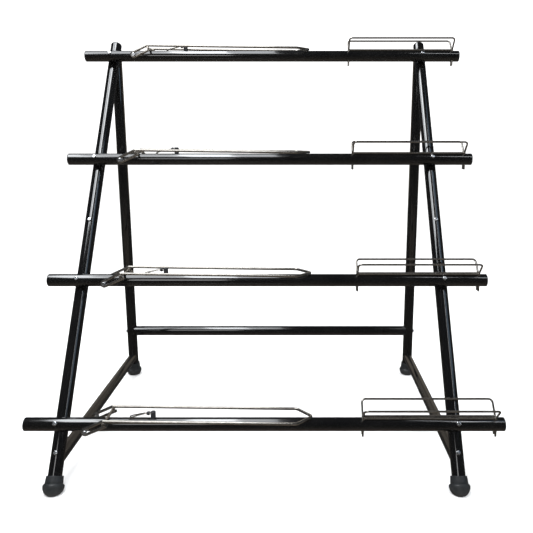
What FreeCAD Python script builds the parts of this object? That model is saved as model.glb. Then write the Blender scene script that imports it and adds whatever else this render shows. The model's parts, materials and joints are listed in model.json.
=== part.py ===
import FreeCAD, Part

import math
import os

from FreeCAD import Vector

# Four-tier rack of round steel tube, millimetres, +Z up, X along the rails, front towards -Y.
# The origin lies on the floor, midway between the ends of the rails and between the feet.

# ---------------------------------------------------------------- rails and posts
RAIL_LENGTH = 1132.0
TUBE_OD = 32.0
TUBE_WALL = 1.5
BRACE_OD = 28.0
CROSSBAR_OD = 31.8
BRACE_WALL = 1.5
TIER_COUNT = 4
TIER_RISE = 301.0
TIER_SETBACK = 190.0
BOTTOM_RAIL_HEIGHT = 147.0
LEFT_POST_X = -490.0
RIGHT_POST_X = 455.0
REAR_POST_BEHIND_TOP_RAIL = 55.0
POST_TOP_ABOVE_TOP_RAIL = 42.0
SADDLE_DEPTH = 1.0
SPARE_HOLE_STEP = 1.5
BASE_TUBE_HEIGHT = 62.0
CROSSBAR_HEIGHT = 155.0

# ---------------------------------------------------------------- plugs and feet
PLUG_FLANGE = 2.5
PLUG_STEM = 14.0
PLUG_CROWN = 5.0
PLUG_CROWN_EDGE = 4.0
PLUG_FLANGE_EDGE = 1.5
PLUG_CLEARANCE = 0.05
FOOT_WALL = 3.5
FOOT_BULGE = 5.0
FOOT_BALL_HEIGHT = 16.0
FOOT_LENGTH = 41.0
FOOT_SOLE = 7.0
FOOT_BLEND = 2.5
FOOT_LIP = 1.2

# ---------------------------------------------------------------- screws, nuts and inserts
SCREW_D = 6.0
SCREW_HOLE_CLEARANCE = 0.3
THREAD_CLEARANCE = 0.02
HEAD_D = 11.0
HEAD_HEIGHT = 3.3
HEAD_CROWN = 2.5
HEX_KEY = 4.0
HEX_DEPTH = 2.0
NUT_D = 11.0
NUT_LENGTH = 9.0
INSERT_LENGTH = 34.0
SCREW_BITE = 20.0
BASE_SCREW_MEET = 12.0

# ---------------------------------------------------------------- retaining arms
ARM_WIRE_D = 7.0
ARM_SIDE_CLEARANCE = 17.5
ARM_PIVOT_X = -411.0
ARM_CROSS_ROD_X = -368.0
ARM_CROSS_ROD_D = 6.5
ARM_CROSS_ROD_OVERHANG = 6.0
ARM_CROSS_ROD_CHAMFER = 0.6
ARM_SHOULDER_X = 76.0
ARM_TIP_X = 113.0
ARM_SHOULDER_RADIUS = 14.0
ARM_TIP_RADIUS = 8.0
ARM_REST_GAP = 0.3
ARM_TAIL = 5.0
PIVOT_PIN_D = 6.0
PIVOT_RUNNING_CLEARANCE = 0.05
PIVOT_HEAD_D = 12.0
PIVOT_HEAD_HEIGHT = 3.0
PIVOT_HEAD_EDGE = 1.8
PIVOT_SIDE_GAP = 0.3
PIVOT_DIMPLE_D = 3.6
PIVOT_DIMPLE_DEPTH = 1.4
WELD_GAP = 0.02

# ---------------------------------------------------------------- cradles
CRADLE_WIRE_D = 5.0
CRADLE_LENGTH = 313.0
CRADLE_TO_RAIL_END = 21.0
CRADLE_HALF_WIDTH = 32.0
CRADLE_TOP_ABOVE_RAIL = 32.5
CRADLE_LEG_Y = 6.0
CRADLE_PIN_DROP = 12.0
CRADLE_CORNER_RADIUS = 9.0
CRADLE_LEG_BEND = 8.0
CRADLE_LEG_BEND_RISE = 4.0
WIRE_HOLE_CLEARANCE = 0.05

# ---------------------------------------------------------------- rail stops
STOP_WIRE_D = 3.0
STOP_ROOT_X = -318.0
STOP_ROOT_Y = 5.0
STOP_ROOT_DEPTH = 6.0
STOP_NECK_Y = 2.2
STOP_NECK_X = -281.0
STOP_NECK_ABOVE_RAIL = 12.0
STOP_BEND = 5.0
STOP_BEND_RISE = 3.0
BUMPER_X = -262.0
BUMPER_D = 12.0
BUMPER_HEIGHT = 17.0
BUMPER_EDGE = 2.0
BEAD_X = -273.0
BEAD_D = 10.0

# ---------------------------------------------------------------- derived layout
TUBE_R = TUBE_OD / 2
FOOT_SLEEVE_OD = TUBE_OD + 2 * FOOT_WALL
FOOT_BALL_OD = FOOT_SLEEVE_OD + 2 * FOOT_BULGE
ARM_HALF_WIDTH = TUBE_R + ARM_SIDE_CLEARANCE + ARM_WIRE_D / 2
CRADLE_TOP = TUBE_R + CRADLE_TOP_ABOVE_RAIL
CRADLE_RIGHT_X = RAIL_LENGTH / 2 - CRADLE_TO_RAIL_END
CRADLE_LEFT_X = CRADLE_RIGHT_X - CRADLE_LENGTH
STOP_NECK_HEIGHT = TUBE_R + STOP_NECK_ABOVE_RAIL
TOP_RAIL_HEIGHT = BOTTOM_RAIL_HEIGHT + (TIER_COUNT - 1) * TIER_RISE
POST_TOP_HEIGHT = TOP_RAIL_HEIGHT + POST_TOP_ABOVE_TOP_RAIL
REAR_POST_SETBACK = (TIER_COUNT - 1) * TIER_SETBACK + REAR_POST_BEHIND_TOP_RAIL
LEAN = math.atan2(TIER_SETBACK, TIER_RISE)
POST_UP = Vector(0, math.sin(LEAN), math.cos(LEAN))
POST_FRONT = Vector(0, -math.cos(LEAN), math.sin(LEAN))
RAIL_TO_POST = TUBE_OD - SADDLE_DEPTH
ALONG_X = Vector(1, 0, 0)
ALONG_Y = Vector(0, 1, 0)
UPWARDS = Vector(0, 0, 1)
POST_XS = (LEFT_POST_X, RIGHT_POST_X)
TIERS = range(1, TIER_COUNT + 1)

# The bottom rail's place along Y puts the origin midway between the front and rear feet.
FOOT_TO_BOTTOM_RAIL = (
    (BOTTOM_RAIL_HEIGHT - RAIL_TO_POST * math.sin(LEAN) - FOOT_BALL_HEIGHT) * math.tan(LEAN)
    - RAIL_TO_POST * math.cos(LEAN)
)
BOTTOM_RAIL_Y = (FOOT_TO_BOTTOM_RAIL - REAR_POST_SETBACK) / 2
REAR_POST_Y = BOTTOM_RAIL_Y + REAR_POST_SETBACK


def rail_centre(tier, x=0.0):
    """A point on a rail's axis; tier 1 is the bottom rail."""
    step = tier - 1
    return Vector(x, BOTTOM_RAIL_Y + step * TIER_SETBACK, BOTTOM_RAIL_HEIGHT + step * TIER_RISE)


def post_centre(x, height):
    """The point of a front post's axis at a height above the floor."""
    start = rail_centre(1, x) - POST_FRONT * RAIL_TO_POST
    return start + POST_UP * ((height - start.z) / math.cos(LEAN))


# ---------------------------------------------------------------- shape helpers
def rod(start, end, diameter):
    span = end - start
    return Part.makeCylinder(diameter / 2, span.Length, start, span)


def tube(start, end, outer, wall):
    return rod(start, end, outer).cut(rod(start, end, outer - 2 * wall))


def long_rod(middle, direction, diameter, reach=2000.0):
    """A solid bar that runs well past the whole rack, used as a cutter."""
    along = Vector(direction).normalize() * reach
    return rod(middle - along, middle + along, diameter)


def nearest_solid(shape, point):
    """The one solid of a cut shape that lies nearest to a point."""
    return min(shape.Solids, key=lambda solid: solid.CenterOfMass.distanceToPoint(point))


def line(start, end):
    return Part.LineSegment(start, end).toShape()


def arc(start, middle, end):
    return Part.Arc(start, middle, end).toShape()


def rounded_edges(points, radii):
    """Straight runs through the points, with a tangent arc at each inner point."""
    edges = []
    last = points[0]
    for before, corner, after, radius in zip(points, points[1:], points[2:], radii):
        back = (before - corner).normalize()
        ahead = (after - corner).normalize()
        half_opening = back.getAngle(ahead) / 2
        setback = radius / math.tan(half_opening)
        bisector = (back + ahead).normalize()
        centre = corner + bisector * (radius / math.sin(half_opening))
        arc_start = corner + back * setback
        arc_end = corner + ahead * setback
        edges.append(line(last, arc_start))
        edges.append(arc(arc_start, centre - bisector * radius, arc_end))
        last = arc_end
    edges.append(line(last, points[-1]))
    return edges


def bent_wire(edges, diameter):
    """Round wire swept along a smooth path."""
    path = Part.Wire(edges)
    first = edges[0]
    start = first.valueAt(first.FirstParameter)
    heading = first.tangentAt(first.FirstParameter)
    profile = Part.Wire([Part.makeCircle(diameter / 2, start, heading)])
    return path.makePipeShell([profile], True, False)


def mirrored_in_y(point, middle_y):
    return Vector(point.x, 2 * middle_y - point.y, point.z)


# ---------------------------------------------------------------- fasteners
def button_screw(seat, direction, length):
    """Button-head screw whose head rests at seat and whose shank runs along direction."""
    into = Vector(direction).normalize()
    head = Part.makeCylinder(HEAD_D / 2, HEAD_HEIGHT)
    head = head.makeFillet(HEAD_CROWN, [upper_edge(head)])
    socket_points = [
        Vector(
            HEX_KEY / math.sqrt(3) * math.cos(math.radians(60 * k)),
            HEX_KEY / math.sqrt(3) * math.sin(math.radians(60 * k)),
            HEAD_HEIGHT - HEX_DEPTH,
        )
        for k in range(7)
    ]
    socket = Part.Face(Part.makePolygon(socket_points)).extrude(UPWARDS * (2 * HEX_DEPTH))
    shank = Part.makeCylinder(SCREW_D / 2, length, Vector(0, 0, 0), -UPWARDS)
    screw = head.cut(socket).fuse(shank).removeSplitter()
    screw.Placement = FreeCAD.Placement(seat, FreeCAD.Rotation(UPWARDS, -into))
    return screw


def upper_edge(shape):
    circles = [edge for edge in shape.Edges if len(edge.Vertexes) == 1]
    return max(circles, key=lambda edge: edge.CenterOfMass.z)


def screw_hole(seat, direction, length):
    into = Vector(direction).normalize()
    return rod(seat - into * HEAD_HEIGHT, seat + into * length, SCREW_D + 2 * SCREW_HOLE_CLEARANCE)


def thread_hole(seat, direction, length):
    into = Vector(direction).normalize()
    return rod(seat, seat + into * length, SCREW_D + 2 * THREAD_CLEARANCE)


# ---------------------------------------------------------------- screw positions
def rail_screw_seat(tier, x):
    return rail_centre(tier, x) + POST_FRONT * TUBE_R


def rail_screw_length():
    return TUBE_R + RAIL_TO_POST - (TUBE_R - TUBE_WALL - NUT_LENGTH)


def apex_screw_length():
    return TUBE_R + RAIL_TO_POST + TUBE_R + SCREW_BITE


def spare_screw_seat(x):
    """Spare fixing on the front of a post, between the two middle tiers."""
    height = rail_centre(1 + SPARE_HOLE_STEP).z - RAIL_TO_POST * math.sin(LEAN)
    return post_centre(x, height) + POST_FRONT * TUBE_R


def spare_screw_length():
    return TUBE_WALL + NUT_LENGTH


def base_screw_seat(x):
    """The screw's line crosses the base tube's axis a little way inside the tube."""
    drop = (TUBE_R + BASE_SCREW_MEET) * math.sin(LEAN)
    return post_centre(x, BASE_TUBE_HEIGHT + drop) + POST_FRONT * TUBE_R


def base_screw_length():
    return TUBE_OD + SCREW_BITE


def rear_screw_seat(x):
    return Vector(x, REAR_POST_Y + TUBE_R, BASE_TUBE_HEIGHT)


def crossbar_screw_seat(x):
    outwards = math.copysign(TUBE_R, x)
    return Vector(x + outwards, REAR_POST_Y, CROSSBAR_HEIGHT)


def crossbar_screw_direction(x):
    return Vector(-math.copysign(1.0, x), 0, 0)


# ---------------------------------------------------------------- posts
def front_post(x):
    bottom = post_centre(x, FOOT_SOLE + TUBE_R * math.sin(LEAN))
    top = post_centre(x, POST_TOP_HEIGHT) - POST_UP * PLUG_CROWN
    post = tube(bottom, top, TUBE_OD, TUBE_WALL)
    for tier in TIERS:
        post = post.cut(long_rod(rail_centre(tier), ALONG_X, TUBE_OD))
        length = apex_screw_length() if tier == TIER_COUNT else rail_screw_length()
        post = post.cut(screw_hole(rail_screw_seat(tier, x), -POST_FRONT, length))
    post = post.cut(screw_hole(spare_screw_seat(x), -POST_FRONT, spare_screw_length()))
    return post.cut(screw_hole(base_screw_seat(x), -POST_FRONT, base_screw_length()))


def rear_post(x):
    bottom = Vector(x, REAR_POST_Y, FOOT_SOLE)
    top = Vector(x, REAR_POST_Y, POST_TOP_HEIGHT)
    post = tube(bottom, top, TUBE_OD, TUBE_WALL)
    post = post.cut(long_rod(post_centre(x, 0), POST_UP, TUBE_OD))
    post = nearest_solid(post, bottom)
    post = post.cut(screw_hole(rear_screw_seat(x), -ALONG_Y, TUBE_OD))
    post = post.cut(screw_hole(crossbar_screw_seat(x), crossbar_screw_direction(x), TUBE_OD))
    return post.cut(screw_hole(rail_screw_seat(TIER_COUNT, x), -POST_FRONT, apex_screw_length()))


def apex_insert(x):
    """Threaded plug in the coped top of a rear post."""
    top = Vector(x, REAR_POST_Y, POST_TOP_HEIGHT)
    seat = rail_screw_seat(TIER_COUNT, x)
    lowest = seat.z - apex_screw_length() * math.sin(LEAN) - SCREW_D
    bottom = Vector(x, REAR_POST_Y, lowest)
    insert = rod(bottom, top, TUBE_OD - 2 * TUBE_WALL - 2 * PLUG_CLEARANCE)
    insert = insert.cut(long_rod(post_centre(x, 0), POST_UP, TUBE_OD))
    insert = nearest_solid(insert, bottom)
    return insert.cut(thread_hole(seat, -POST_FRONT, apex_screw_length()))


def post_nut(seat):
    """Nut held against the inside of a front post's front wall; seat is on the post's skin."""
    inner = seat - POST_FRONT * (TUBE_WALL + NUT_LENGTH)
    nut = rod(inner, seat, NUT_D)
    bore = long_rod(post_centre(seat.x, 0), POST_UP, TUBE_OD - 2 * TUBE_WALL)
    return nut.common(bore).cut(thread_hole(seat, -POST_FRONT, TUBE_WALL + NUT_LENGTH))


def post_nuts():
    nuts = []
    for x in POST_XS:
        for tier in TIERS[:-1]:
            skin = rail_centre(tier, x) - POST_FRONT * (RAIL_TO_POST - TUBE_R)
            nuts.append(post_nut(skin))
        nuts.append(post_nut(spare_screw_seat(x)))
    return nuts


def post_top_plug(x):
    """Domed plug in the top of a front post."""
    end = post_centre(x, POST_TOP_HEIGHT) - POST_UP * PLUG_CROWN
    crown = Part.makeCylinder(TUBE_R, PLUG_CROWN)
    crown = crown.makeFillet(PLUG_CROWN_EDGE, [upper_edge(crown)])
    stem_r = TUBE_R - TUBE_WALL - PLUG_CLEARANCE
    stem = Part.makeCylinder(stem_r, PLUG_STEM, Vector(0, 0, 0), -UPWARDS)
    stem = stem.cut(Part.makeCylinder(stem_r - 2 * TUBE_WALL, PLUG_STEM, Vector(0, 0, 0), -UPWARDS))
    plug = crown.fuse(stem).removeSplitter()
    plug.Placement = FreeCAD.Placement(end, FreeCAD.Rotation(UPWARDS, POST_UP))
    return plug


def foot(floor_point, heading):
    """Rubber foot: a ball cut flat at the floor, with a sleeve round the post's end."""
    centre = floor_point + heading * (FOOT_BALL_HEIGHT / heading.z)
    top = floor_point + heading * FOOT_LENGTH
    ball = Part.makeSphere(FOOT_BALL_OD / 2, centre)
    sleeve = rod(centre, top, FOOT_SLEEVE_OD)
    body = ball.fuse(sleeve).removeSplitter()
    body = body.makeFillet(FOOT_BLEND, [edge_nearest(body, junction_point(centre, heading))])
    body = body.makeFillet(FOOT_LIP, [edge_nearest(body, top + across(heading) * (FOOT_SLEEVE_OD / 2))])
    below = Part.makeBox(FOOT_BALL_OD * 2, FOOT_BALL_OD * 2, FOOT_BALL_OD)
    below.translate(floor_point - Vector(FOOT_BALL_OD, FOOT_BALL_OD, FOOT_BALL_OD))
    socket_start = floor_point + heading * ((FOOT_SOLE + TUBE_R * across(heading).z) / heading.z)
    return body.cut(below).cut(rod(socket_start, top + heading * FOOT_BALL_OD, TUBE_OD))


def across(heading):
    """Unit vector square to a post's heading, upwards and towards the front where it leans."""
    return ALONG_X.cross(heading)


def junction_point(centre, heading):
    """A point where the foot's sleeve leaves its ball."""
    rise = math.sqrt((FOOT_BALL_OD / 2) ** 2 - (FOOT_SLEEVE_OD / 2) ** 2)
    return centre + heading * rise + across(heading) * (FOOT_SLEEVE_OD / 2)


def edge_nearest(shape, point):
    vertex = Part.Vertex(point)
    return min(shape.Edges, key=lambda edge: edge.distToShape(vertex)[0])


# ---------------------------------------------------------------- base and crossbar
def base_tube(x):
    start = Vector(x, post_centre(x, BASE_TUBE_HEIGHT).y, BASE_TUBE_HEIGHT)
    end = Vector(x, REAR_POST_Y, BASE_TUBE_HEIGHT)
    pipe = tube(start, end, BRACE_OD, BRACE_WALL)
    pipe = pipe.cut(long_rod(post_centre(x, 0), POST_UP, TUBE_OD))
    pipe = pipe.cut(long_rod(end, UPWARDS, TUBE_OD))
    return nearest_solid(pipe, (start + end) / 2).cut(
        screw_hole(base_screw_seat(x), -POST_FRONT, base_screw_length())
    )


def base_front_insert(x):
    start = Vector(x, post_centre(x, BASE_TUBE_HEIGHT).y, BASE_TUBE_HEIGHT)
    end = start + ALONG_Y * (TUBE_R / math.cos(LEAN) + INSERT_LENGTH)
    insert = rod(start, end, BRACE_OD - 2 * BRACE_WALL - 2 * PLUG_CLEARANCE)
    insert = insert.cut(long_rod(post_centre(x, 0), POST_UP, TUBE_OD))
    insert = nearest_solid(insert, end)
    return insert.cut(thread_hole(base_screw_seat(x), -POST_FRONT, base_screw_length()))


def base_rear_insert(x):
    end = Vector(x, REAR_POST_Y, BASE_TUBE_HEIGHT)
    start = end - ALONG_Y * (TUBE_R + INSERT_LENGTH)
    insert = rod(start, end, BRACE_OD - 2 * BRACE_WALL - 2 * PLUG_CLEARANCE)
    insert = insert.cut(long_rod(end, UPWARDS, TUBE_OD))
    return insert.cut(thread_hole(rear_screw_seat(x), -ALONG_Y, TUBE_OD + SCREW_BITE))


def rear_crossbar():
    start = Vector(LEFT_POST_X, REAR_POST_Y, CROSSBAR_HEIGHT)
    end = Vector(RIGHT_POST_X, REAR_POST_Y, CROSSBAR_HEIGHT)
    bar = tube(start, end, CROSSBAR_OD, BRACE_WALL)
    for point in (start, end):
        bar = bar.cut(long_rod(point, UPWARDS, TUBE_OD))
    return nearest_solid(bar, (start + end) / 2)


def crossbar_insert(x):
    outer = Vector(x, REAR_POST_Y, CROSSBAR_HEIGHT)
    inner = outer + crossbar_screw_direction(x) * (TUBE_R + INSERT_LENGTH)
    insert = rod(inner, outer, CROSSBAR_OD - 2 * BRACE_WALL - 2 * PLUG_CLEARANCE)
    insert = insert.cut(long_rod(outer, UPWARDS, TUBE_OD))
    length = TUBE_OD + SCREW_BITE
    return insert.cut(thread_hole(crossbar_screw_seat(x), crossbar_screw_direction(x), length))


# ---------------------------------------------------------------- rails
def rail(tier):
    half = RAIL_LENGTH / 2 - PLUG_FLANGE
    pipe = tube(rail_centre(tier, -half), rail_centre(tier, half), TUBE_OD, TUBE_WALL)
    for x in POST_XS:
        pipe = pipe.cut(screw_hole(rail_screw_seat(tier, x), -POST_FRONT, 2 * TUBE_OD))
    pivot = rail_centre(tier, ARM_PIVOT_X)
    reach = ALONG_Y * TUBE_OD
    pipe = pipe.cut(rod(pivot - reach, pivot + reach, PIVOT_PIN_D + 2 * WIRE_HOLE_CLEARANCE))
    for x in (CRADLE_LEFT_X, CRADLE_RIGHT_X):
        for side in (-1, 1):
            hole = rail_centre(tier, x) + ALONG_Y * (side * CRADLE_LEG_Y)
            reach = UPWARDS * TUBE_OD
            pipe = pipe.cut(rod(hole - reach, hole + reach, CRADLE_WIRE_D + 2 * WIRE_HOLE_CLEARANCE))
    for side in (-1, 1):
        hole = rail_centre(tier, STOP_ROOT_X) + ALONG_Y * (side * STOP_ROOT_Y)
        pipe = pipe.cut(rod(hole, hole + UPWARDS * TUBE_OD, STOP_WIRE_D + 2 * WIRE_HOLE_CLEARANCE))
    return pipe


def rail_end_plug(tier, side):
    """Plastic plug with a thin rounded flange; side is -1 for the left end."""
    flange = Part.makeCylinder(TUBE_R, PLUG_FLANGE)
    flange = flange.makeFillet(PLUG_FLANGE_EDGE, [upper_edge(flange)])
    stem_r = TUBE_R - TUBE_WALL - PLUG_CLEARANCE
    stem = Part.makeCylinder(stem_r, PLUG_STEM, Vector(0, 0, 0), -UPWARDS)
    stem = stem.cut(Part.makeCylinder(stem_r - 2 * TUBE_WALL, PLUG_STEM, Vector(0, 0, 0), -UPWARDS))
    plug = flange.fuse(stem).removeSplitter()
    end = rail_centre(tier, side * (RAIL_LENGTH / 2 - PLUG_FLANGE))
    plug.Placement = FreeCAD.Placement(end, FreeCAD.Rotation(UPWARDS, ALONG_X * side))
    return plug


# ---------------------------------------------------------------- retaining arms
def in_side_view(centre, radius, degrees, y):
    """Point on a circle about centre in a vertical plane along the rail."""
    angle = math.radians(degrees)
    return Vector(centre.x + radius * math.cos(angle), y, centre.z + radius * math.sin(angle))


def cross_rod_centre(tier):
    return rail_centre(tier, ARM_CROSS_ROD_X) + UPWARDS * (
        TUBE_R + ARM_REST_GAP + ARM_CROSS_ROD_D / 2
    )


def arm_droop():
    """Slope of the arm's long wires, which come down from the cross rod to the rail."""
    cross_top = TUBE_R + ARM_REST_GAP + ARM_CROSS_ROD_D + WELD_GAP
    tip_bottom = TUBE_R + ARM_REST_GAP
    return math.degrees(math.atan2(tip_bottom - cross_top, ARM_TIP_X - ARM_CROSS_ROD_X))


def arm_strand(tier, y):
    """One side of the arm: edges from its welded end round the pin and over the cross rod."""
    pin = rail_centre(tier, ARM_PIVOT_X)
    cross = cross_rod_centre(tier)
    pin_r = PIVOT_PIN_D / 2 + PIVOT_RUNNING_CLEARANCE + ARM_WIRE_D / 2
    cross_r = ARM_CROSS_ROD_D / 2 + WELD_GAP + ARM_WIRE_D / 2
    rise = math.degrees(math.atan2(cross.z - pin.z, cross.x - pin.x))
    gap = math.hypot(cross.z - pin.z, cross.x - pin.x)
    flare = math.degrees(math.asin((cross_r - pin_r) / gap))
    upper = rise + 90 + flare
    lower = rise - 90 - flare
    level = arm_droop() + 90
    lower_on_pin = in_side_view(pin, pin_r, lower, y)
    lower_on_cross = in_side_view(cross, cross_r, lower, y)
    tail = lower_on_cross + (lower_on_cross - lower_on_pin).normalize() * ARM_TAIL
    upper_on_pin = in_side_view(pin, pin_r, upper, y)
    upper_on_cross = in_side_view(cross, cross_r, upper, y)
    over_cross = in_side_view(cross, cross_r, level, y)
    return [
        line(tail, lower_on_pin),
        arc(lower_on_pin, in_side_view(pin, pin_r, rise + 180, y), upper_on_pin),
        line(upper_on_pin, upper_on_cross),
        arc(upper_on_cross, in_side_view(cross, cross_r, (upper + level) / 2, y), over_cross),
    ]


def arm_wire(tier):
    """One wire: an eye round the pin on each side and a loop that closes to a point."""
    axis_y = rail_centre(tier).y
    front = arm_strand(tier, axis_y - ARM_HALF_WIDTH)
    rear = arm_strand(tier, axis_y + ARM_HALF_WIDTH)
    start = front[-1].valueAt(front[-1].LastParameter)
    slope = math.tan(math.radians(arm_droop()))
    shoulder_z = start.z + slope * (ARM_SHOULDER_X - start.x)
    tip_z = start.z + slope * (ARM_TIP_X - start.x)
    loop = rounded_edges(
        [
            start,
            Vector(ARM_SHOULDER_X, axis_y - ARM_HALF_WIDTH, shoulder_z),
            Vector(ARM_TIP_X, axis_y, tip_z),
            Vector(ARM_SHOULDER_X, axis_y + ARM_HALF_WIDTH, shoulder_z),
            mirrored_in_y(start, axis_y),
        ],
        [ARM_SHOULDER_RADIUS, ARM_TIP_RADIUS, ARM_SHOULDER_RADIUS],
    )
    return bent_wire(front + loop + rear[::-1], ARM_WIRE_D)


def arm_cross_rod(tier):
    reach = ALONG_Y * (ARM_HALF_WIDTH + ARM_CROSS_ROD_OVERHANG)
    centre = cross_rod_centre(tier)
    bar = rod(centre - reach, centre + reach, ARM_CROSS_ROD_D)
    return bar.makeChamfer(ARM_CROSS_ROD_CHAMFER, [edge for edge in bar.Edges if len(edge.Vertexes) == 1])


def arm_pivot_pin(tier):
    """Pin through the rail, headed at both ends outside the arm's eyes."""
    centre = rail_centre(tier, ARM_PIVOT_X)
    reach = ARM_HALF_WIDTH + ARM_WIRE_D / 2 + PIVOT_SIDE_GAP
    pin = rod(centre - ALONG_Y * reach, centre + ALONG_Y * reach, PIVOT_PIN_D)
    for side in (-1, 1):
        head = Part.makeCylinder(PIVOT_HEAD_D / 2, PIVOT_HEAD_HEIGHT)
        head = head.makeFillet(PIVOT_HEAD_EDGE, [upper_edge(head)])
        dimple_floor = UPWARDS * (PIVOT_HEAD_HEIGHT - PIVOT_DIMPLE_DEPTH)
        head = head.cut(Part.makeCylinder(PIVOT_DIMPLE_D / 2, PIVOT_HEAD_HEIGHT, dimple_floor))
        place = centre + ALONG_Y * (side * reach)
        head.Placement = FreeCAD.Placement(place, FreeCAD.Rotation(UPWARDS, ALONG_Y * side))
        pin = pin.fuse(head)
    return pin.removeSplitter()


# ---------------------------------------------------------------- cradles
def cradle_wing(tier, side):
    """One side of the trough: a wire with both legs through the rail; side is -1 in front."""
    axis = rail_centre(tier)
    leg_y = axis.y + side * CRADLE_LEG_Y
    top_y = axis.y + side * CRADLE_HALF_WIDTH
    bend_z = axis.z + TUBE_R + CRADLE_LEG_BEND_RISE
    low_z = axis.z - TUBE_R - CRADLE_PIN_DROP
    top_z = axis.z + CRADLE_TOP
    points = [
        Vector(CRADLE_LEFT_X, leg_y, low_z),
        Vector(CRADLE_LEFT_X, leg_y, bend_z),
        Vector(CRADLE_LEFT_X, top_y, top_z),
        Vector(CRADLE_RIGHT_X, top_y, top_z),
        Vector(CRADLE_RIGHT_X, leg_y, bend_z),
        Vector(CRADLE_RIGHT_X, leg_y, low_z),
    ]
    radii = [CRADLE_LEG_BEND, CRADLE_CORNER_RADIUS, CRADLE_CORNER_RADIUS, CRADLE_LEG_BEND]
    return bent_wire(rounded_edges(points, radii), CRADLE_WIRE_D)


def cradle_floor_wire(tier, side, wing):
    """Straight wire lying on the rail between a wing's legs, with its ends shaped to them."""
    axis = rail_centre(tier)
    lift = TUBE_R + CRADLE_WIRE_D / 2 + WELD_GAP
    offset = Vector(0, side * CRADLE_LEG_Y, math.sqrt(lift**2 - CRADLE_LEG_Y**2))
    start = rail_centre(tier, CRADLE_LEFT_X) + offset
    end = rail_centre(tier, CRADLE_RIGHT_X) + offset
    middle = axis + offset
    return nearest_solid(rod(start, end, CRADLE_WIRE_D).cut(wing), middle)


# ---------------------------------------------------------------- rail stops
def stop_wire(tier):
    """Hairpin of thin wire rooted in the rail, with its bend inside the bumper."""
    axis = rail_centre(tier)
    root_z = axis.z + TUBE_R - STOP_ROOT_DEPTH
    bend_z = axis.z + TUBE_R + STOP_BEND_RISE
    neck_z = axis.z + STOP_NECK_HEIGHT
    end_x = BUMPER_X + STOP_NECK_Y
    front = [
        Vector(STOP_ROOT_X, axis.y - STOP_ROOT_Y, root_z),
        Vector(STOP_ROOT_X, axis.y - STOP_ROOT_Y, bend_z),
        Vector(STOP_NECK_X, axis.y - STOP_NECK_Y, neck_z),
        Vector(end_x, axis.y - STOP_NECK_Y, neck_z),
    ]
    rear = [mirrored_in_y(point, axis.y) for point in reversed(front)]
    turn = STOP_NECK_Y - WELD_GAP
    radii = [STOP_BEND, STOP_BEND * 2, turn, turn, STOP_BEND * 2, STOP_BEND]
    return bent_wire(rounded_edges(front + rear, radii), STOP_WIRE_D)


def stop_bumper(tier, wire):
    """Rubber block standing on the rail, moulded round the wire's bend."""
    centre = rail_centre(tier, BUMPER_X)
    height = TUBE_R + BUMPER_HEIGHT
    block = Part.makeCylinder(BUMPER_D / 2, height, centre)
    block = block.makeFillet(BUMPER_EDGE, [upper_edge(block)])
    block = block.cut(long_rod(centre, ALONG_X, TUBE_OD)).cut(wire)
    return nearest_solid(block, centre + UPWARDS * height)


def stop_bead(tier, wire):
    """Rubber bead threaded on both strands of the wire."""
    centre = rail_centre(tier, BEAD_X) + UPWARDS * STOP_NECK_HEIGHT
    return Part.makeSphere(BEAD_D / 2, centre).cut(wire)


# ---------------------------------------------------------------- export
def save(name, *solids):
    shape = solids[0] if len(solids) == 1 else Part.makeCompound(list(solids))
    shape.exportStep(f"parts/{name}.step")


def save_frame():
    for x, side in zip(POST_XS, ("left", "right")):
        save(f"front_post_{side}", front_post(x))
        save(f"rear_post_{side}", rear_post(x))
        save(f"base_tube_{side}", base_tube(x))
        front_floor = post_centre(x, 0)
        save(f"foot_front_{side}", foot(front_floor, POST_UP))
        save(f"foot_rear_{side}", foot(Vector(x, REAR_POST_Y, 0), UPWARDS))
    save("rear_crossbar", rear_crossbar())
    save("post_top_plugs", *[post_top_plug(x) for x in POST_XS])
    plugs = [rail_end_plug(tier, side) for tier in TIERS for side in (-1, 1)]
    save("rail_end_plugs", *plugs)


def save_fasteners():
    into_post = -POST_FRONT
    seats = [rail_screw_seat(tier, x) for tier in TIERS[:-1] for x in POST_XS]
    save("rail_screws", *[button_screw(s, into_post, rail_screw_length()) for s in seats])
    seats = [rail_screw_seat(TIER_COUNT, x) for x in POST_XS]
    save("apex_screws", *[button_screw(s, into_post, apex_screw_length()) for s in seats])
    seats = [spare_screw_seat(x) for x in POST_XS]
    save("spare_hole_screws", *[button_screw(s, into_post, spare_screw_length()) for s in seats])
    seats = [base_screw_seat(x) for x in POST_XS]
    save("base_front_screws", *[button_screw(s, into_post, base_screw_length()) for s in seats])
    length = TUBE_OD + SCREW_BITE
    seats = [rear_screw_seat(x) for x in POST_XS]
    save("base_rear_screws", *[button_screw(s, -ALONG_Y, length) for s in seats])
    screws = [
        button_screw(crossbar_screw_seat(x), crossbar_screw_direction(x), length) for x in POST_XS
    ]
    save("crossbar_screws", *screws)
    save("post_nuts", *post_nuts())
    save("apex_inserts", *[apex_insert(x) for x in POST_XS])
    save("base_front_inserts", *[base_front_insert(x) for x in POST_XS])
    save("base_rear_inserts", *[base_rear_insert(x) for x in POST_XS])
    save("crossbar_inserts", *[crossbar_insert(x) for x in POST_XS])


def save_tier(tier):
    save(f"rail_{tier}", rail(tier))
    save(f"arm_wire_{tier}", arm_wire(tier))
    save(f"arm_cross_rod_{tier}", arm_cross_rod(tier))
    wings = {side: cradle_wing(tier, side) for side in (-1, 1)}
    save(f"cradle_front_wire_{tier}", wings[-1])
    save(f"cradle_rear_wire_{tier}", wings[1])
    floor_wires = [cradle_floor_wire(tier, side, wing) for side, wing in wings.items()]
    save(f"cradle_floor_wires_{tier}", *floor_wires)
    wire = stop_wire(tier)
    save(f"stop_wire_{tier}", wire)
    save(f"stop_rubbers_{tier}", stop_bumper(tier, wire), stop_bead(tier, wire))


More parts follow.
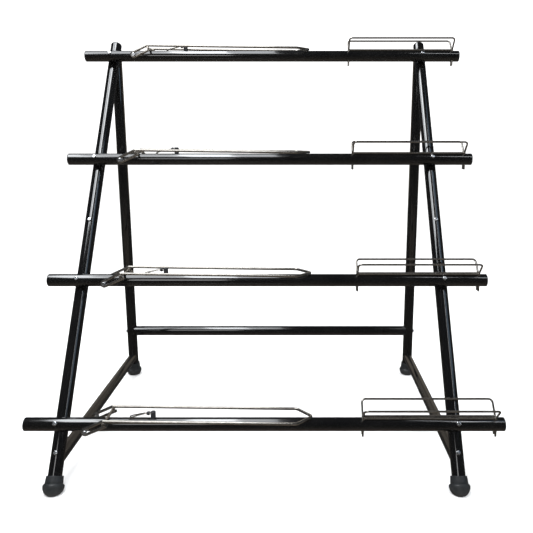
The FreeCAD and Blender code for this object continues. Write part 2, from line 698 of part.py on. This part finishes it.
def main():
    os.makedirs("parts", exist_ok=True)
    save_frame()
    save_fasteners()
    for tier in TIERS:
        save_tier(tier)
    save("arm_pivot_pins", *[arm_pivot_pin(tier) for tier in TIERS])


main()
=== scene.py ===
"""Finish and small details of a four-tier tube rack with swinging wire arms, in metres.

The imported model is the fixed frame. Tubes, wires and screws keep their own meshes and get their
finishes here; the rubber feet and the rails' caps are remodelled, and weld beads are added.
"""

import json
import math

import bmesh
import bpy
from mathutils import Matrix, Vector, noise

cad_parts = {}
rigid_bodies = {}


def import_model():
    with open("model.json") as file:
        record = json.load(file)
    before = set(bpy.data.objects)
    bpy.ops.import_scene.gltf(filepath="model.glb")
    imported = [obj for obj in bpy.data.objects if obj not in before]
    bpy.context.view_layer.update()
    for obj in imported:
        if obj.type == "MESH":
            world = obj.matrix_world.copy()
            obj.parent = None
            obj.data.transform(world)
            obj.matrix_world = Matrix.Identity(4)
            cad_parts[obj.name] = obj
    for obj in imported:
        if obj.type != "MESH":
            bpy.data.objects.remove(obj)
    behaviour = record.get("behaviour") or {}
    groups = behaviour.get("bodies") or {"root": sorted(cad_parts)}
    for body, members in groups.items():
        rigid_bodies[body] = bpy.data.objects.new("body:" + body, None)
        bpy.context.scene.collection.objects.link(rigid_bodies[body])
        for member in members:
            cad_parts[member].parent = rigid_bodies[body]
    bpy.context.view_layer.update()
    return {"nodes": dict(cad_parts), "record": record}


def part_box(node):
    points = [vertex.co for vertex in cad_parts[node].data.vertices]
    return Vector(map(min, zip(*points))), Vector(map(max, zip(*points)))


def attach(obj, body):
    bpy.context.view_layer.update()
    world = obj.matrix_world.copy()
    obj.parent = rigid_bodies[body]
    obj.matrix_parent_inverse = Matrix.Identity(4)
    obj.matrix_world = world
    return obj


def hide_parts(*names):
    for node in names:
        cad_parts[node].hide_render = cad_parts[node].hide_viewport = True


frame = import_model()

# ---------------------------------------------------------------- driving sizes, metres
MM = 0.001
TIERS = (1, 2, 3, 4)
FRAME_BODY = "frame"

FOOT_BALL_RADIUS = 24.48 * MM
FOOT_BALL_HEIGHT = 16 * MM
FOOT_SLEEVE_RADIUS = 19.5 * MM
FOOT_SLEEVE_FLARE = 1.3 * MM
FOOT_LENGTH = 41 * MM
FOOT_LIP = 1.3 * MM
FOOT_SHOULDER_FLATNESS = 0.38
FOOT_WALL = 3.45 * MM
FOOT_SOCKET_DEPTH = 12 * MM
FOOT_SOCKET_EDGE = 0.5 * MM
FOOT_STEPS_ROUND = 72
FOOT_CREASE = ((0.5 * MM, 0.5 * MM), (0.2 * MM, 1.4 * MM))
FOOT_TREAD_STEPS = (3.2 * MM, 0.4 * MM, 1.6 * MM, 0.4 * MM, 3.2 * MM, 0.4 * MM, 1.6 * MM, 0.4 * MM)
FOOT_TREAD_RISES = (0, 0.8 * MM, 0, -0.8 * MM, 0, 0.8 * MM, 0, -0.8 * MM)

CAP_DISH = (
    (0.0, 0.25 * MM),
    (4.0 * MM, 0.25 * MM),
    (6.2 * MM, 0.35 * MM),
    (7.0 * MM, 0.9 * MM),
    (8.6 * MM, 0.9 * MM),
    (9.4 * MM, 0.2 * MM),
)
CAP_LAND = 3.5 * MM
CAP_FLANGE = 2.5 * MM
CAP_STEM = 14 * MM
CAP_STEM_BEVEL = 0.8 * MM
CAP_WEB = 0.5 * MM
CAP_WALL = 3 * MM
CAP_EDGE = 1.2 * MM
CAP_STEM_INSET = 1.55 * MM
CAP_STEPS_ROUND = 64

ARM_WIRE_RADIUS = 3.5 * MM
CRADLE_WIRE_RADIUS = 2.5 * MM
CROSS_ROD_RADIUS = 3.25 * MM
CRADLE_FLOOR_Y = 6 * MM
PIN_FROM_ARM_END = 10.05 * MM
ARM_BEAD = (2.8 * MM, 1.5 * MM, 1.4 * MM)
ARM_BEAD_FROM_STRAND = 2.9 * MM
ARM_BEAD_STAND_OFF = 0.5 * MM
CRADLE_BEAD = (1.7 * MM, 1.9 * MM, 1.2 * MM)
CRADLE_BEAD_FROM_END = 2.4 * MM
CRADLE_BEAD_RISE = 1.9 * MM
CRADLE_BEAD_SEEDS = 9
BEAD_LUMP_SIZE = 2.2
BEAD_LUMP_HEIGHT = 0.16

FLOOR_HALF_WIDTH = 30
FLOOR_CELLS = 8
BACKDROP_STRENGTH = 1.5
COOL_WHITE = (0.94, 0.97, 1.0)
WARM_ROOM = (1.0, 0.92, 0.83)
SKY_BLUE = (0.55, 0.76, 1.0)
TIMBER = (1.0, 0.86, 0.68)

CAMERA_PLACE = (0.081, -1.548, 0.830)
CAMERA_TILT = math.radians(79.18)
CAMERA_LENS = 38.99
CAMERA_SHIFT = (-0.0607, -0.0492)


# ---------------------------------------------------------------- places from the frame
def middle(node):
    """Middle of a node's box."""
    low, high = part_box(node)
    return (low + high) / 2


def size(node):
    """Sides of a node's box."""
    low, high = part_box(node)
    return high - low


TUBE_RADIUS = size("rail_1").z / 2
RAIL_STEP = middle("rail_2") - middle("rail_1")
POST_HEADING = Vector((0, RAIL_STEP.y, RAIL_STEP.z)).normalized()
UPRIGHT = Vector((0, 0, 1))
SOLES = {m["name"]: Vector(m["pos_m"]) for m in frame["record"]["mounts"]}


# ---------------------------------------------------------------- material helpers
class Finish:
    """A material under construction: its node tree, its shader and short ways to add nodes."""

    def __init__(self, name):
        self.material = bpy.data.materials.new(name)
        self.material.use_nodes = True
        self.tree = self.material.node_tree
        self.shader = self.tree.nodes["Principled BSDF"]
        self.place = self.add("ShaderNodeTexCoord").outputs["Object"]

    def add(self, kind, **values):
        node = self.tree.nodes.new(kind)
        for key, value in values.items():
            if key in node.inputs:
                node.inputs[key].default_value = value
            else:
                setattr(node, key, value)
        return node

    def link(self, source, target):
        self.tree.links.new(source, target)

    def set(self, **values):
        for key, value in values.items():
            self.shader.inputs[key.replace("_", " ")].default_value = value

    def stretched(self, scale):
        mapping = self.add("ShaderNodeMapping")
        mapping.inputs["Scale"].default_value = scale
        self.link(self.place, mapping.inputs["Vector"])
        return mapping.outputs["Vector"]

    def noise(self, scale, detail=3.0, roughness=0.5, vector=None):
        node = self.add("ShaderNodeTexNoise", Scale=scale, Detail=detail, Roughness=roughness)
        self.link(vector or self.place, node.inputs["Vector"])
        return node.outputs["Fac"]

    def ramp(self, fac, stops):
        """Colour ramp through (position, colour) stops; a plain number means a grey."""
        node = self.add("ShaderNodeValToRGB")
        elements = node.color_ramp.elements
        while len(elements) < len(stops):
            elements.new(1.0)
        for element, (position, colour) in zip(elements, stops):
            grey = isinstance(colour, (int, float))
            element.position = position
            element.color = (colour, colour, colour, 1) if grey else (*colour, 1)
        self.link(fac, node.inputs["Fac"])
        return node.outputs["Color"]

    def mix(self, fac, low, high):
        node = self.add("ShaderNodeMix", data_type="RGBA")
        self.link(fac, node.inputs["Factor"])
        for socket, value in (("A", low), ("B", high)):
            target = next(s for s in node.inputs if s.name == socket and s.type == "RGBA")
            if isinstance(value, tuple):
                target.default_value = (*value, 1)
            else:
                self.link(value, target)
        return next(s for s in node.outputs if s.type == "RGBA")

    def bump(self, height, distance, strength=1.0, under=None):
        node = self.add("ShaderNodeBump", Distance=distance, Strength=strength)
        self.link(height, node.inputs["Height"])
        if under is not None:
            self.link(under, node.inputs["Normal"])
        return node.outputs["Normal"]

    def colour(self, source):
        self.link(source, self.shader.inputs["Base Color"])

    def rough(self, source):
        self.link(source, self.shader.inputs["Roughness"])

    def normal(self, source):
        self.link(source, self.shader.inputs["Normal"])


# ---------------------------------------------------------------- finishes
def black_enamel():
    """Stoved gloss black on the tubes: slight orange peel and a faint haze."""
    f = Finish("stoved_black_enamel")
    haze = f.noise(9.0, detail=5.0, roughness=0.6)
    f.colour(f.ramp(haze, ((0.35, (0.0015, 0.0015, 0.0016)), (0.75, (0.0035, 0.0034, 0.0032)))))
    f.rough(f.ramp(haze, ((0.3, 0.07), (0.8, 0.15))))
    f.normal(f.bump(f.noise(260.0, detail=2.0), 0.00002))
    f.set(IOR=1.65, Coat_Weight=0.8, Coat_Roughness=0.04, Coat_IOR=1.5)
    return f.material


def plated_wire():
    """Bright nickel plate over drawn wire: fine lengthwise drawing lines and slight clouding."""
    f = Finish("nickel_plated_wire")
    cloud = f.noise(60.0, detail=4.0)
    f.colour(f.ramp(cloud, ((0.3, (0.50, 0.47, 0.43)), (0.7, (0.66, 0.63, 0.58)))))
    drawn = f.noise(1.0, detail=3.0, vector=f.stretched((60.0, 2400.0, 2400.0)))
    f.rough(f.ramp(drawn, ((0.3, 0.12), (0.75, 0.26))))
    f.normal(f.bump(drawn, 0.00002))
    f.set(Metallic=1.0)
    return f.material


def weld_metal():
    """Plated weld: the same nickel, rippled and duller."""
    f = Finish("nickel_plated_weld")
    ripple = f.noise(900.0, detail=3.0)
    f.colour(f.ramp(ripple, ((0.3, (0.38, 0.35, 0.31)), (0.7, (0.60, 0.57, 0.52)))))
    f.rough(f.ramp(ripple, ((0.3, 0.22), (0.8, 0.42))))
    f.normal(f.bump(ripple, 0.0002))
    f.set(Metallic=1.0)
    return f.material


def zinc_plate():
    """Bright zinc on screws and pins: pale blue-white with a soft bloom."""
    f = Finish("bright_zinc_plate")
    bloom = f.noise(700.0, detail=4.0)
    f.colour(f.ramp(bloom, ((0.3, (0.66, 0.68, 0.71)), (0.7, (0.86, 0.87, 0.88)))))
    f.rough(f.ramp(bloom, ((0.25, 0.16), (0.8, 0.34))))
    f.normal(f.bump(bloom, 0.00003))
    f.set(Metallic=1.0)
    return f.material


def turned_steel():
    """Plain steel of the hidden inserts and nuts, unevenly dulled."""
    f = Finish("turned_plain_steel")
    marks = f.noise(900.0, detail=4.0)
    f.colour(f.ramp(marks, ((0.3, (0.36, 0.36, 0.35)), (0.7, (0.56, 0.56, 0.54)))))
    f.rough(f.ramp(marks, ((0.2, 0.28), (0.8, 0.5))))
    f.normal(f.bump(marks, 0.00004))
    f.set(Metallic=1.0)
    return f.material


def foot_rubber():
    """Moulded grey-black rubber: fine grain, scuffed and dusty towards the floor."""
    f = Finish("moulded_foot_rubber")
    grain = f.noise(1800.0, detail=2.0)
    smear = f.noise(55.0, detail=5.0, roughness=0.65)
    height = f.add("ShaderNodeSeparateXYZ")
    f.link(f.place, height.inputs[0])
    low = f.add("ShaderNodeMapRange", clamp=True)
    for key, value in (("From Min", 0.0), ("From Max", 0.03), ("To Min", 1.0), ("To Max", 0.0)):
        low.inputs[key].default_value = value
    f.link(height.outputs["Z"], low.inputs["Value"])
    dust = f.add("ShaderNodeMath", operation="MULTIPLY")
    f.link(low.outputs["Result"], dust.inputs[0])
    f.link(smear, dust.inputs[1])
    body = f.ramp(smear, ((0.3, (0.009, 0.011, 0.012)), (0.7, (0.017, 0.019, 0.021))))
    f.colour(f.mix(dust.outputs[0], body, (0.034, 0.033, 0.032)))
    f.rough(f.ramp(smear, ((0.3, 0.36), (0.8, 0.52))))
    f.normal(f.bump(grain, 0.00006))
    return f.material


def stop_rubber():
    """Denser black rubber of the rail stops."""
    f = Finish("dense_black_rubber")
    grain = f.noise(1500.0, detail=2.0)
    f.colour(f.ramp(grain, ((0.3, (0.010, 0.010, 0.012)), (0.7, (0.022, 0.023, 0.025)))))
    f.rough(f.ramp(grain, ((0.3, 0.34), (0.8, 0.5))))
    f.normal(f.bump(grain, 0.00005))
    return f.material


def cap_plastic():
    """Moulded black plastic of the tube caps, with a fine spark-eroded texture."""
    f = Finish("moulded_cap_plastic")
    texture = f.noise(2200.0, detail=2.0)
    patch = f.noise(120.0, detail=3.0)
    f.colour(f.ramp(patch, ((0.3, (0.010, 0.010, 0.011)), (0.7, (0.020, 0.020, 0.021)))))
    f.rough(f.ramp(patch, ((0.3, 0.30), (0.8, 0.46))))
    f.normal(f.bump(texture, 0.00003))
    return f.material


def pale_floor():
    """Near-white matt floor."""
    f = Finish("pale_studio_floor")
    tone = f.noise(1.4, detail=4.0)
    f.colour(f.ramp(tone, ((0.3, (0.86, 0.86, 0.86)), (0.7, (0.90, 0.90, 0.90)))))
    f.set(Roughness=0.85)
    return f.material


FINISHES = {
    "black_gloss_paint": black_enamel(),
    "chrome_wire": plated_wire(),
    "bright_zinc": zinc_plate(),
    "plain_steel": turned_steel(),
    "foot_rubber": foot_rubber(),
    "stop_rubber": stop_rubber(),
    "black_plastic": cap_plastic(),
}
WELD = weld_metal()


def finish_frame_nodes():
    """Every node keeps its mesh and takes the finish of its own slot."""
    for part in frame["record"]["subparts"]:
        node = frame["nodes"][part["node"]]
        finish = FINISHES[part["material_slot"]]
        for holder in node.material_slots:
            holder.material = finish


# ---------------------------------------------------------------- mesh helpers
def turned_shape(profile, steps):
    """Solid of revolution about Z from a closed profile of (radius, height) points."""
    bm = bmesh.new()
    verts = [bm.verts.new((radius, 0, height)) for radius, height in profile]
    edges = [bm.edges.new(pair) for pair in zip(verts, verts[1:])]
    bmesh.ops.spin(
        bm,
        geom=verts + edges,
        cent=(0, 0, 0),
        axis=(0, 0, 1),
        angle=2 * math.pi,
        steps=steps,
        use_merge=True,
    )
    bmesh.ops.remove_doubles(bm, verts=bm.verts, dist=1e-6)
    bmesh.ops.recalc_face_normals(bm, faces=bm.faces)
    return bm


def stand(bm, place, heading):
    """Turns a shape made along Z to a heading, and sets it at a place."""
    turn = UPRIGHT.rotation_difference(heading).to_matrix().to_4x4()
    bmesh.ops.transform(bm, matrix=Matrix.Translation(place) @ turn, verts=bm.verts)


def arc_points(centre, radius, first, last, count):
    """Points of an arc in a profile, angles in degrees from the radius direction."""
    points = []
    for k in range(count + 1):
        angle = math.radians(first + (last - first) * k / count)
        points.append((centre[0] + radius * math.cos(angle), centre[1] + radius * math.sin(angle)))
    return points


def gathered(pieces):
    """One bmesh out of several."""
    whole = bmesh.new()
    for bm in pieces:
        mesh = bpy.data.meshes.new("part")
        bm.to_mesh(mesh)
        bm.free()
        whole.from_mesh(mesh)
        bpy.data.meshes.remove(mesh)
    return whole


def make_piece(name, bm, finish, body, sharp_over=40):
    """Turns a bmesh into a smooth-shaded piece that rides on a body."""
    sharp = math.radians(sharp_over)
    for face in bm.faces:
        face.smooth = True
    for edge in bm.edges:
        edge.smooth = not edge.is_manifold or edge.calc_face_angle() < sharp
    mesh = bpy.data.meshes.new(name)
    bm.to_mesh(mesh)
    bm.free()
    mesh.materials.append(finish)
    piece = bpy.data.objects.new(name, mesh)
    bpy.context.scene.collection.objects.link(piece)
    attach(piece, body)
    return piece


# ---------------------------------------------------------------- rubber feet
def foot_profile(along):
    """Outline of a foot, from the pole of its ball up the sleeve and back down the socket."""
    neck = FOOT_SLEEVE_RADIUS + FOOT_SLEEVE_FLARE
    neck_angle = math.degrees(math.acos(neck / FOOT_BALL_RADIUS))
    outline = arc_points((0.0, along), FOOT_BALL_RADIUS, -90, 0, 16)
    shoulder = arc_points((0.0, 0.0), FOOT_BALL_RADIUS, 0, neck_angle, 8)[1:]
    outline += [(radius, along + FOOT_SHOULDER_FLATNESS * rise) for radius, rise in shoulder]
    waist = outline[-1][1]
    outline += [(neck - inward, waist + up) for inward, up in FOOT_CREASE]
    outline += [
        (FOOT_SLEEVE_RADIUS + 0.4 * FOOT_SLEEVE_FLARE, (waist + FOOT_LENGTH) / 2),
        (FOOT_SLEEVE_RADIUS, FOOT_LENGTH - 3 * FOOT_LIP),
    ]
    lip = (FOOT_SLEEVE_RADIUS - FOOT_LIP, FOOT_LENGTH - FOOT_LIP)
    outline += arc_points(lip, FOOT_LIP, 0, 90, 5)
    socket = FOOT_SLEEVE_RADIUS - FOOT_WALL
    outline += [
        (socket + FOOT_SOCKET_EDGE, FOOT_LENGTH),
        (socket, FOOT_LENGTH - FOOT_SOCKET_EDGE),
        (socket, FOOT_LENGTH - FOOT_SOCKET_DEPTH),
        (0.0, FOOT_LENGTH - FOOT_SOCKET_DEPTH),
    ]
    return outline


def cut_at_floor(bm):
    """Cuts a foot flat at the floor and presses rings of tread into its sole."""
    result = bmesh.ops.bisect_plane(
        bm,
        geom=bm.verts[:] + bm.edges[:] + bm.faces[:],
        plane_co=(0, 0, 0),
        plane_no=(0, 0, -1),
        clear_outer=True,
    )
    rim = [item for item in result["geom_cut"] if isinstance(item, bmesh.types.BMEdge)]
    sole = bmesh.ops.contextual_create(bm, geom=rim)["faces"][0]
    for step, rise in zip(FOOT_TREAD_STEPS, FOOT_TREAD_RISES):
        centre = sole.calc_center_bounds()
        radius = max((vert.co - centre).length for vert in sole.verts)
        sole = bmesh.ops.extrude_discrete_faces(bm, faces=[sole])["faces"][0]
        shrink = Matrix.Diagonal((1 - step / radius, 1 - step / radius, 1, 1))
        bmesh.ops.transform(
            bm,
            matrix=Matrix.Translation(centre + Vector((0, 0, rise))) @ shrink @ Matrix.Translation(-centre),
            verts=sole.verts,
        )
    bmesh.ops.recalc_face_normals(bm, faces=bm.faces)


def rubber_foot(name, node, place, heading):
    """Foot with its sole's middle at a place, its sleeve turned to the post's heading."""
    axis_at_floor = place + (UPRIGHT - heading / heading.z) * FOOT_BALL_HEIGHT
    bm = turned_shape(foot_profile(FOOT_BALL_HEIGHT / heading.z), FOOT_STEPS_ROUND)
    stand(bm, axis_at_floor, heading)
    cut_at_floor(bm)
    piece = make_piece(name, bm, FINISHES["foot_rubber"], FRAME_BODY, sharp_over=50)
    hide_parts(node)


def rubber_feet():
    """The four feet: the front pair leans with its posts, the rear pair stands upright."""
    for row, heading in (("front", POST_HEADING), ("rear", UPRIGHT)):
        for side in ("left", "right"):
            sole = SOLES[f"sole_{row}_{side}"]
            rubber_foot(f"ribbed_foot_{row}_{side}", f"foot_{row}_{side}", sole, heading)


# ---------------------------------------------------------------- tube caps
def cap_profile():
    """Outline of a rail's cap: shallow crown, dished ring, rounded rim and hollow stem."""
    rim = TUBE_RADIUS
    stem = TUBE_RADIUS - CAP_STEM_INSET
    face = CAP_FLANGE
    outline = [(radius, face - depth) for radius, depth in CAP_DISH]
    outline.append((rim - CAP_LAND, face))
    outline += arc_points((rim - CAP_EDGE, face - CAP_EDGE), CAP_EDGE, 90, 0, 5)
    outline += [
        (rim, 0.0),
        (stem, 0.0),
        (stem, -CAP_STEM + CAP_STEM_BEVEL),
        (stem - CAP_STEM_BEVEL, -CAP_STEM),
        (stem - CAP_WALL, -CAP_STEM),
        (stem - CAP_WALL, -CAP_WEB),
        (0.0, -CAP_WEB),
    ]
    return outline


def rail_caps():
    """Caps in both ends of every rail, one piece."""
    caps = []
    low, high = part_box("rail_end_plugs")
    for tier in TIERS:
        axis = middle(f"rail_{tier}")
        for x, side in ((low.x, -1), (high.x, 1)):
            cap = turned_shape(cap_profile(), CAP_STEPS_ROUND)
            stand(cap, Vector((x - side * CAP_FLANGE, axis.y, axis.z)), Vector((side, 0, 0)))
            caps.append(cap)
    piece = make_piece(
        "rail_caps", gathered(caps), FINISHES["black_plastic"], FRAME_BODY
    )
    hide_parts("rail_end_plugs")


# ---------------------------------------------------------------- weld beads
def weld_bead(place, scale, seed):
    """A small lumpy fillet of weld."""
    bm = bmesh.new()
    bmesh.ops.create_icosphere(bm, subdivisions=3, radius=1.0)
    offset = Vector((seed * 3.7, seed * 1.9, seed * 5.1))
    for vert in bm.verts:
        vert.co *= 1 + BEAD_LUMP_HEIGHT * noise.noise(vert.co * BEAD_LUMP_SIZE + offset)
    bmesh.ops.scale(bm, vec=scale, verts=bm.verts)
    bmesh.ops.translate(bm, vec=place, verts=bm.verts)
    return bm


def arm_welds(tier):
    """Welds where both strands of an arm's wire cross its rod, above and below."""
    rod = middle(f"arm_cross_rod_{tier}")
    low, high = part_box(f"arm_wire_{tier}")
    pin = Vector((low.x + PIN_FROM_ARM_END, rod.y, middle(f"rail_{tier}").z))
    slope = math.atan2(rod.z - pin.z, rod.x - pin.x)
    beads = []
    for strand in (low.y + ARM_WIRE_RADIUS, high.y - ARM_WIRE_RADIUS):
        for contact in (math.pi / 2, slope - math.pi / 2):
            for side in (-1, 1):
                outward = Vector((math.cos(contact), 0, math.sin(contact)))
                place = Vector((rod.x, strand + side * ARM_BEAD_FROM_STRAND, rod.z))
                place += outward * (CROSS_ROD_RADIUS + ARM_BEAD_STAND_OFF)
                beads.append(weld_bead(place, ARM_BEAD, len(beads) + tier))
    make_piece(
        f"arm_welds_{tier}", gathered(beads), WELD, f"arm_{tier}", sharp_over=80
    )


def cradle_welds(tier):
    """Welds that join the cradle's floor wires to the legs of its wings."""
    low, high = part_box(f"cradle_floor_wires_{tier}")
    axis = middle(f"rail_{tier}")
    beads = []
    for x, inward in ((low.x, 1), (high.x, -1)):
        for side in (-1, 1):
            for up in (-1, 1):
                place = Vector(
                    (
                        x + inward * CRADLE_BEAD_FROM_END,
                        axis.y + side * CRADLE_FLOOR_Y,
                        high.z - CRADLE_WIRE_RADIUS + up * CRADLE_BEAD_RISE,
                    )
                )
                beads.append(weld_bead(place, CRADLE_BEAD, len(beads) + CRADLE_BEAD_SEEDS * tier))
    make_piece(
        f"cradle_welds_{tier}", gathered(beads), WELD, FRAME_BODY, sharp_over=80
    )


# ---------------------------------------------------------------- floor, light and camera
def floor():
    """Pale floor at height 0, left out of reflections so that they show the dim room."""
    bm = bmesh.new()
    bmesh.ops.create_grid(bm, x_segments=FLOOR_CELLS, y_segments=FLOOR_CELLS, size=FLOOR_HALF_WIDTH)
    mesh = bpy.data.meshes.new("studio_floor")
    bm.to_mesh(mesh)
    bm.free()
    mesh.materials.append(pale_floor())
    ground = bpy.data.objects.new("studio_floor", mesh)
    bpy.context.scene.collection.objects.link(ground)
    ground.visible_glossy = False


def area_light(name, place, aim, width, depth, radiance, colour=(1, 1, 1), group=None):
    """Rectangular light of a given radiance; with a group, it falls only on those pieces."""
    light = bpy.data.lights.new(name, "AREA")
    light.shape = "RECTANGLE"
    light.size = width
    light.size_y = depth
    light.energy = radiance * math.pi * width * depth
    light.color = colour
    lamp = bpy.data.objects.new(name, light)
    lamp.location = place
    lamp.rotation_euler = (Vector(aim) - Vector(place)).to_track_quat("-Z", "Y").to_euler()
    lamp.visible_camera = False
    lamp.light_linking.receiver_collection = group
    bpy.context.scene.collection.objects.link(lamp)


def receivers(name, chosen):
    """The meshes that a light may fall on: those that a test chooses."""
    group = bpy.data.collections.new(name)
    for piece in bpy.context.scene.objects:
        if piece.type == "MESH" and chosen(piece):
            group.objects.link(piece)
    return group


def is_wire(piece):
    """Whether a piece is plated wire or weld."""
    return piece.material_slots[0].material in (FINISHES["chrome_wire"], WELD)


def is_far_tube(piece):
    """Whether a piece is a base tube or a rear post."""
    return piece.name.startswith(("base_tube", "rear_post"))


def ceiling_lights(wires, others):
    """A wide panel over the arms, dimmer for the bright wire, and two strips that brighten it."""
    over, under = (-0.75, -0.30, 2.5), (-0.75, -0.30, 0)
    area_light("ceiling", over, under, 1.4, 2.2, 4.0, COOL_WHITE, others)
    area_light("ceiling_on_wire", over, under, 1.4, 2.2, 3.0, COOL_WHITE, wires)
    area_light("strip_middle", (-0.45, -0.30, 2.4), (-0.45, -0.30, 0), 0.3, 2.0, 7.0, COOL_WHITE, others)
    area_light("strip_left", (-1.30, -0.50, 2.4), (-1.30, -0.50, 0), 0.3, 2.0, 4.0, COOL_WHITE, others)


def side_lights(others):
    """A square light in front, and tall ones that draw lines down the leaning posts."""
    area_light("front_square", (-0.9, -3.2, 1.6), (0, 0, 0.5), 0.8, 0.8, 2.5)
    area_light("high_strip", (1.35, -1.35, 2.2), (0, 0.1, 0.6), 0.14, 2.2, 5.0, COOL_WHITE, others)
    area_light("high_panel", (2.0, -0.9, 2.0), (0, 0.1, 0.6), 0.9, 2.2, 0.9, SKY_BLUE, others)


def room_reflections(wires, far_tubes):
    """Dim warm panels that only the wires, or only the far tubes, reflect."""
    area_light("front_wall", (0.3, -3.5, 1.8), (0, 0, 0.6), 6.0, 3.6, 0.08, WARM_ROOM, wires)
    area_light("rear_wall", (0, 3.5, 2.2), (0, 0, 0.6), 6.0, 3.6, 0.25, WARM_ROOM, wires)
    area_light("timber_wall", (0, 3.0, 1.6), (0, 0, 0.6), 6.0, 3.0, 0.24, TIMBER, far_tubes)
    area_light("timber_floor", (0, -2.2, 0.01), (0, -2.2, 1), 6.0, 2.6, 0.12, TIMBER, far_tubes)


def studio_lights():
    """All lights, with the wires and the far tubes lit apart from the rest."""
    wires = receivers("bright_wire", is_wire)
    others = receivers("all_but_wire", lambda piece: not is_wire(piece))
    far_tubes = receivers("far_tubes", is_far_tube)
    ceiling_lights(wires, others)
    side_lights(others)
    room_reflections(wires, far_tubes)


def surroundings():
    """A white surround that lights the floor evenly, seen in gloss as a dim warm room."""
    world = bpy.data.worlds.new("studio")
    world.use_nodes = True
    bpy.context.scene.world = world
    nodes, links = world.node_tree.nodes, world.node_tree.links
    nodes.clear()
    place = nodes.new("ShaderNodeTexCoord")
    split = nodes.new("ShaderNodeSeparateXYZ")
    links.new(place.outputs["Generated"], split.inputs[0])
    ramp = nodes.new("ShaderNodeValToRGB")
    stops = (
        (0.0, (0.15, 0.13, 0.11)),
        (0.3, (0.06, 0.055, 0.05)),
        (0.5, (0.04, 0.04, 0.04)),
        (0.7, (0.032, 0.035, 0.04)),
        (1.0, (0.028, 0.031, 0.036)),
    )
    while len(ramp.color_ramp.elements) < len(stops):
        ramp.color_ramp.elements.new(1.0)
    for element, (position, colour) in zip(ramp.color_ramp.elements, stops):
        element.position = position
        element.color = (*colour, 1)
    upness = nodes.new("ShaderNodeMapRange")
    upness.inputs["From Min"].default_value = -1
    upness.inputs["From Max"].default_value = 1
    links.new(split.outputs["Z"], upness.inputs["Value"])
    links.new(upness.outputs["Result"], ramp.inputs["Fac"])
    room = nodes.new("ShaderNodeBackground")
    links.new(ramp.outputs["Color"], room.inputs["Color"])
    backdrop = nodes.new("ShaderNodeBackground")
    backdrop.inputs["Color"].default_value = (1, 1, 1, 1)
    backdrop.inputs["Strength"].default_value = BACKDROP_STRENGTH
    sight = nodes.new("ShaderNodeLightPath")
    mixed = nodes.new("ShaderNodeMixShader")
    output = nodes.new("ShaderNodeOutputWorld")
    links.new(sight.outputs["Is Glossy Ray"], mixed.inputs["Fac"])
    links.new(backdrop.outputs[0], mixed.inputs[1])
    links.new(room.outputs[0], mixed.inputs[2])
    links.new(mixed.outputs[0], output.inputs["Surface"])


def camera():
    """Front view."""
    lens = bpy.data.cameras.new("camera")
    lens.lens = CAMERA_LENS
    lens.shift_x, lens.shift_y = CAMERA_SHIFT
    viewer = bpy.data.objects.new("camera", lens)
    viewer.location = CAMERA_PLACE
    viewer.rotation_euler = (CAMERA_TILT, 0, 0)
    bpy.context.scene.collection.objects.link(viewer)
    bpy.context.scene.camera = viewer


# ---------------------------------------------------------------- put together
camera()
finish_frame_nodes()
rubber_feet()
rail_caps()
for tier in TIERS:
    arm_welds(tier)
    cradle_welds(tier)
floor()
studio_lights()
surroundings()
bpy.context.scene.view_settings.view_transform = "Standard"
